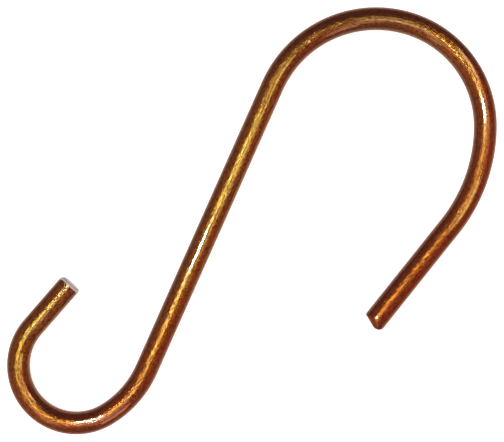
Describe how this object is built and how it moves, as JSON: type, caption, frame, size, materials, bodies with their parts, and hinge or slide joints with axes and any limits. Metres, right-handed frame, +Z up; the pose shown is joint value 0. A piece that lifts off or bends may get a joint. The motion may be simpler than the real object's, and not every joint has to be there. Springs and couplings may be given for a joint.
{
  "type": "s hook",
  "caption": "Lacquered wire S hook, with a large hook that hangs over a rail and a small hook that takes the load, both legs leaning in to the shank.",
  "frame": {"origin": "below the middle of the hook's outline, on the surface that the hook lies on", "axes": "+Z up out of the plane of the S, which lies flat; +Y along the straight shank towards the large hook; +X towards the large hook's leg"},
  "size_m": [0.0802, 0.1142, 0.005],
  "materials": {
    "wire": "glossy copper coloured clear lacquer over bright drawn steel wire"
  },
  "bodies": {
    "root": {"hook_wire": "wire"}
  },
  "joints": []
}
